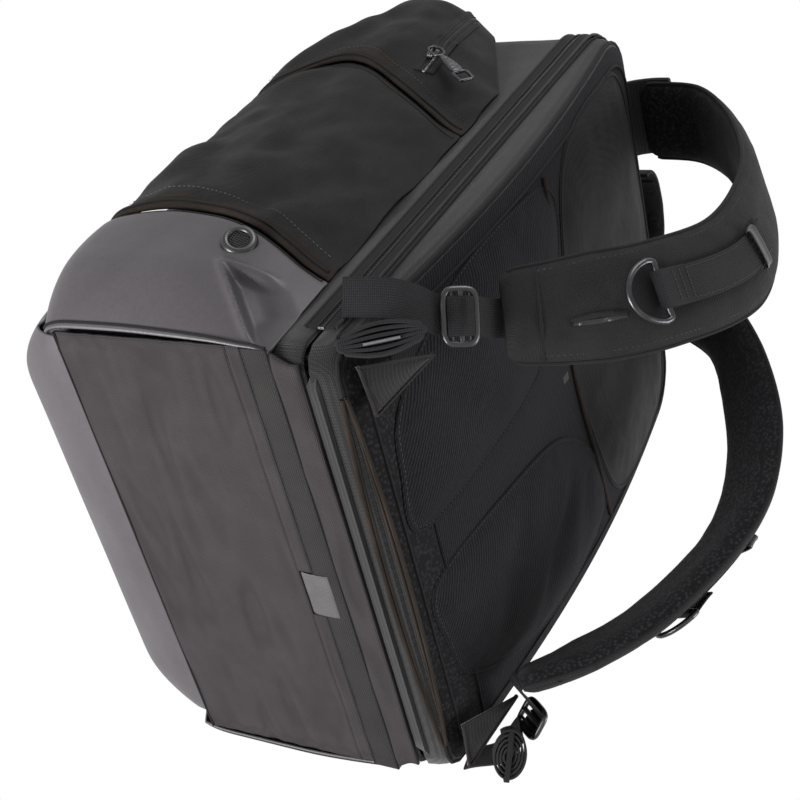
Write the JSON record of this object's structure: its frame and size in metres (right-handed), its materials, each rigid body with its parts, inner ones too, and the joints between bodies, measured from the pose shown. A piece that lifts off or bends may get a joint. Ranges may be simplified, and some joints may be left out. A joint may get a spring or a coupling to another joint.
{
  "type": "drone carrying case",
  "caption": "Structured backpack case for a drone: rear door with shoulder straps hinged at its foot, padded bays, side pockets, zips and lower leather-look band.",
  "frame": {"origin": "on the surface the case stands on, under the body, midway between its sides; the flat base fabric lies at z = 0", "axes": "+Z to the top of the case, +Y out of the harness side, so the front pocket faces -Y and +X is the side seen in the picture"},
  "size_m": [0.4518, 0.4713, 0.53],
  "materials": {
    "base": "close-woven base fabric",
    "foam": "closed-cell foam",
    "gunmetal": "dark plated metal",
    "label": "woven grey label with no text",
    "leather": "satin synthetic leather",
    "lining": "loop-pile lining over foam",
    "mesh": "spacer mesh",
    "nylon": "matt woven nylon",
    "plastic": "moulded black plastic",
    "webbing": "woven polyamide webbing",
    "zip": "zip tape and coil"
  },
  "bodies": {
    "tray": {"tray_shell": "nylon", "base_panel": "base", "base_label": "label", "base_webbing": "webbing", "base_rear_panel": "base", "front_pocket": "nylon", "front_kick_panel": "leather", "zip_tape_tray": "zip", "foam_cradle": "foam", "shelf_divider": "lining", "top_divider": "lining", "hold_down_strap": "webbing", "side_cup_right": "leather", "side_panel_right": "nylon", "side_pocket_right": "nylon", "drain_eyelet_right": "plastic", "battery_divider_right": "lining", "side_cup_left": "leather", "side_panel_left": "nylon", "side_pocket_left": "nylon", "drain_eyelet_left": "plastic", "battery_divider_left": "lining"},
    "door": {"door_shell": "nylon", "zip_tape_door": "zip", "upper_back_pad": "mesh", "laptop_sleeve": "lining", "rain_cover_zip": "zip", "lumbar_pad_right": "mesh", "strap_yoke_right": "nylon", "corner_wing_right": "nylon", "lumbar_pad_left": "mesh", "strap_yoke_left": "nylon", "corner_wing_left": "nylon"},
    "handle": {"grab_handle": "webbing"},
    "strap_right": {"shoulder_strap_right": "nylon", "strap_webbing_right": "webbing", "adjust_webbing_right": "webbing", "spare_webbing_right": "webbing"},
    "ring_right": {"d_ring_right": "gunmetal"},
    "clip_right": {"webbing_clip_right": "plastic"},
    "lock_right": {"ladder_lock_right": "plastic"},
    "main_slider_right": {"main_zip_slider_right": "gunmetal"},
    "main_pull_right": {"main_zip_pull_right": "plastic"},
    "side_slider_right": {"side_zip_slider_right": "gunmetal"},
    "side_pull_right": {"side_zip_pull_right": "plastic"},
    "strap_left": {"shoulder_strap_left": "nylon", "strap_webbing_left": "webbing", "adjust_webbing_left": "webbing", "spare_webbing_left": "webbing"},
    "ring_left": {"d_ring_left": "gunmetal"},
    "clip_left": {"webbing_clip_left": "plastic"},
    "lock_left": {"ladder_lock_left": "plastic"},
    "main_slider_left": {"main_zip_slider_left": "gunmetal"},
    "main_pull_left": {"main_zip_pull_left": "plastic"},
    "side_slider_left": {"side_zip_slider_left": "gunmetal"},
    "side_pull_left": {"side_zip_pull_left": "plastic"},
    "front_slider": {"front_zip_slider": "gunmetal"},
    "front_pull": {"front_zip_pull": "plastic"}
  },
  "joints": [
    {"name": "door_hinge", "type": "hinge", "parent": "tray", "child": "door", "pos_m": [0, 0.0975, 0.004], "axis": [-1, 0, 0], "range_deg": [0, 100]},
    {"name": "handle_fold", "type": "hinge", "parent": "door", "child": "handle", "pos_m": [0, 0.118, 0.5015], "axis": [-1, 0, 0], "range_deg": [0, 50]},
    {"name": "strap_swing_right", "type": "hinge", "parent": "door", "child": "strap_right", "pos_m": [0.0895, 0.134, 0.506], "axis": [0.2236, -0.0594, -0.9729], "range_deg": [-6, 20]},
    {"name": "ring_swing_right", "type": "hinge", "parent": "strap_right", "child": "ring_right", "pos_m": [0.14016, 0.26425, 0.16039], "axis": [0.7963, -0.3943, 0.4588], "range_deg": [0, 120]},
    {"name": "clip_slide_right", "type": "slide", "parent": "strap_right", "child": "clip_right", "axis": [0.1063, 0.0634, -0.9923], "range_m": [-0.007, 0.007]},
    {"name": "lock_tilt_right", "type": "hinge", "parent": "strap_right", "child": "lock_right", "pos_m": [0.164, 0.164, 0.08], "axis": [-0.7903, 0.1502, -0.594], "range_deg": [-12, 3]},
    {"name": "main_zip_run_right", "type": "slide", "parent": "tray", "child": "main_slider_right", "axis": [1, 0, 0], "range_m": [0, 0.1]},
    {"name": "main_pull_swing_right", "type": "hinge", "parent": "main_slider_right", "child": "main_pull_right", "pos_m": [0.012, 0.09725, 0.5064], "axis": [-1, 0, 0], "range_deg": [0, 95]},
    {"name": "side_zip_run_right", "type": "slide", "parent": "tray", "child": "side_slider_right", "axis": [0, 0, 1], "range_m": [0, 0.04]},
    {"name": "side_pull_swing_right", "type": "hinge", "parent": "side_slider_right", "child": "side_pull_right", "pos_m": [0.21508, 0.01989, 0.363], "axis": [0.1571, -0.577, -0.8014], "range_deg": [0, 105]},
    {"name": "strap_swing_left", "type": "hinge", "parent": "door", "child": "strap_left", "pos_m": [-0.0895, 0.134, 0.506], "axis": [0.2104, 0.0369, 0.9769], "range_deg": [-6, 20]},
    {"name": "ring_swing_left", "type": "hinge", "parent": "strap_left", "child": "ring_left", "pos_m": [-0.1284, 0.2503, 0.15073], "axis": [0.5813, 0.6951, -0.4231], "range_deg": [0, 120]},
    {"name": "clip_slide_left", "type": "slide", "parent": "strap_left", "child": "clip_left", "axis": [-0.1264, -0.1762, -0.9762], "range_m": [-0.007, 0.007]},
    {"name": "lock_tilt_left", "type": "hinge", "parent": "strap_left", "child": "lock_left", "pos_m": [-0.159, 0.164, 0.052], "axis": [-0.2899, -0.6973, 0.6555], "range_deg": [-12, 3]},
    {"name": "main_zip_run_left", "type": "slide", "parent": "tray", "child": "main_slider_left", "axis": [-1, 0, 0], "range_m": [0, 0.1]},
    {"name": "main_pull_swing_left", "type": "hinge", "parent": "main_slider_left", "child": "main_pull_left", "pos_m": [-0.012, 0.09725, 0.5064], "axis": [-1, 0, 0], "range_deg": [0, 95]},
    {"name": "side_zip_run_left", "type": "slide", "parent": "tray", "child": "side_slider_left", "axis": [0, 0, 1], "range_m": [0, 0.04]},
    {"name": "side_pull_swing_left", "type": "hinge", "parent": "side_slider_left", "child": "side_pull_left", "pos_m": [-0.21508, 0.01989, 0.363], "axis": [0.1571, 0.577, 0.8014], "range_deg": [0, 105]},
    {"name": "front_zip_run", "type": "slide", "parent": "tray", "child": "front_slider", "axis": [-1, 0, 0], "range_m": [0, 0.2]},
    {"name": "front_pull_swing", "type": "hinge", "parent": "front_slider", "child": "front_pull", "pos_m": [0.1, -0.1635, 0.38], "axis": [-1, 0, 0], "range_deg": [0, 105]}
  ]
}
